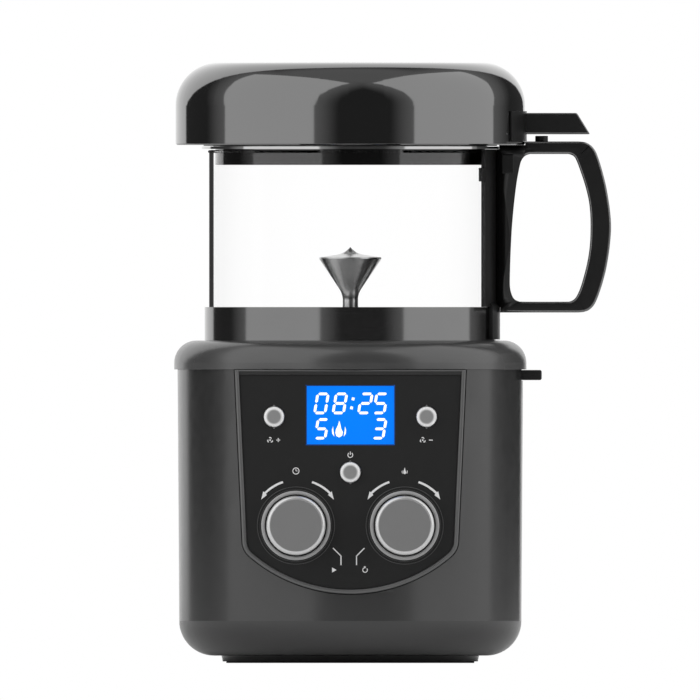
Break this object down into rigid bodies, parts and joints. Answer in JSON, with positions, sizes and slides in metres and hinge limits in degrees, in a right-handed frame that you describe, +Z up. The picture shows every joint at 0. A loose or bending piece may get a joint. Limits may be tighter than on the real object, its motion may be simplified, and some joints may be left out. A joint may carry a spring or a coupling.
{
  "type": "home coffee bean roaster",
  "caption": "Countertop hot-air coffee bean roaster: drum base with control panel, lift-out glass jar with handle, chaff collector and domed twist-off lid.",
  "frame": {"origin": "on the roasting axis at the table, in the middle of the rubber foot ring's resting face", "axes": "+Z up along the roasting axis, controls face -Y, the jar's handle is on +X"},
  "size_m": [0.2256, 0.1956, 0.3095],
  "materials": {
    "shell_plastic": "satin charcoal plastic",
    "cap_plastic": "satin black plastic with a soft highlight",
    "bottom_plastic": "black plastic",
    "foot_rubber": "black rubber",
    "panel_frame": "black plastic frame",
    "panel_print": "matt printed overlay",
    "display_blue": "lit blue display window",
    "button_silver": "satin silver plated plastic",
    "knob_grey": "grey plastic with a bright edge",
    "steel": "stainless steel",
    "dark_metal": "dark glossy metal",
    "lid_gloss": "glossy gunmetal",
    "handle_plastic": "matt black heat-proof plastic",
    "chamber_glass": "clear glass",
    "silicone": "dark silicone",
    "board_green": "circuit board",
    "component_black": "black component plastic",
    "mica": "mica sheet",
    "heater_ribbon": "heater ribbon"
  },
  "bodies": {
    "base": {"base_shell": "shell_plastic", "bottom_plate": "bottom_plastic", "foot_ring": "foot_rubber", "base_screws": "steel", "top_cap": "cap_plastic", "chamber_well": "steel", "seat_seal": "silicone", "air_duct": "steel", "heater_frame": "mica", "heater_coil": "heater_ribbon", "thermostat": "steel", "motor_bracket": "steel", "blower_housing": "component_black", "motor_can": "steel", "power_board": "board_green", "cord_gland": "component_black", "panel_bezel": "panel_frame", "panel_overlay": "panel_print", "lcd_window": "display_blue", "lcd_module": "display_blue", "control_board": "board_green", "board_screws": "steel", "tact_switches": "component_black", "encoder_bodies": "component_black", "knob_trim_rings": "button_silver"},
    "rotor": {"impeller": "component_black", "motor_shaft": "steel"},
    "release": {"release_lever": "handle_plastic", "lock_ring": "handle_plastic"},
    "power_key": {"power_button": "button_silver"},
    "fan_plus_key": {"fan_plus_button": "button_silver"},
    "fan_minus_key": {"fan_minus_button": "button_silver"},
    "time_press": {"time_press_rod": "steel"},
    "time_dial": {"time_knob": "knob_grey", "time_shaft": "steel"},
    "heat_press": {"heat_press_rod": "steel"},
    "heat_dial": {"heat_knob": "knob_grey", "heat_shaft": "steel"},
    "jar": {"chamber_collar": "dark_metal", "glass_gasket": "silicone", "glass_cylinder": "chamber_glass", "rim_band": "chamber_glass", "air_plate": "steel", "deflector": "steel", "deflector_nut": "steel", "handle_back": "handle_plastic", "handle": "handle_plastic", "switch_cover": "handle_plastic", "handle_screws": "steel"},
    "interlock": {"interlock_pin": "handle_plastic"},
    "collector": {"collector_ring": "dark_metal", "chaff_tray": "steel", "chaff_screen": "steel"},
    "lid": {"lid_dome": "lid_gloss", "lid_liner": "handle_plastic", "lid_tab": "handle_plastic", "lid_tab_screws": "steel"}
  },
  "joints": [
    {"name": "rotor_spin", "type": "hinge", "parent": "base", "child": "rotor", "pos_m": [0, 0, 0.06], "axis": [0, 0, 1], "continuous": true},
    {"name": "release_swing", "type": "hinge", "parent": "base", "child": "release", "pos_m": [0, 0, 0.1485], "axis": [0, 0, 1], "range_deg": [0, 18]},
    {"name": "power_press", "type": "slide", "parent": "base", "child": "power_key", "axis": [0, 1, 0], "range_m": [0, 0.001], "stiffness_N_per_m": 120, "springref_m": -0.0004},
    {"name": "fan_plus_press", "type": "slide", "parent": "base", "child": "fan_plus_key", "axis": [0, 1, 0], "range_m": [0, 0.001], "stiffness_N_per_m": 120, "springref_m": -0.0004},
    {"name": "fan_minus_press", "type": "slide", "parent": "base", "child": "fan_minus_key", "axis": [0, 1, 0], "range_m": [0, 0.001], "stiffness_N_per_m": 120, "springref_m": -0.0004},
    {"name": "time_push", "type": "slide", "parent": "base", "child": "time_press", "axis": [0, 1, 0], "range_m": [0, 0.0008], "stiffness_N_per_m": 300, "springref_m": -0.0006},
    {"name": "time_turn", "type": "hinge", "parent": "time_press", "child": "time_dial", "pos_m": [-0.028, -0.09, 0.0708], "axis": [0, 1, 0], "continuous": true},
    {"name": "heat_push", "type": "slide", "parent": "base", "child": "heat_press", "axis": [0, 1, 0], "range_m": [0, 0.0008], "stiffness_N_per_m": 300, "springref_m": -0.0006},
    {"name": "heat_turn", "type": "hinge", "parent": "heat_press", "child": "heat_dial", "pos_m": [0.028, -0.09, 0.0708], "axis": [0, 1, 0], "continuous": true},
    {"name": "jar_lift", "type": "slide", "parent": "base", "child": "jar", "axis": [0, 0, 1], "range_m": [0, 0.08]},
    {"name": "interlock_press", "type": "slide", "parent": "jar", "child": "interlock", "axis": [0, 0, -1], "range_m": [0, 0.0012], "stiffness_N_per_m": 80, "springref_m": -0.0004},
    {"name": "collector_lift", "type": "slide", "parent": "jar", "child": "collector", "axis": [0, 0, 1], "range_m": [0, 0.06]},
    {"name": "lid_twist", "type": "hinge", "parent": "collector", "child": "lid", "pos_m": [0, 0, 0.28], "axis": [0, 0, 1], "range_deg": [0, 30]}
  ]
}
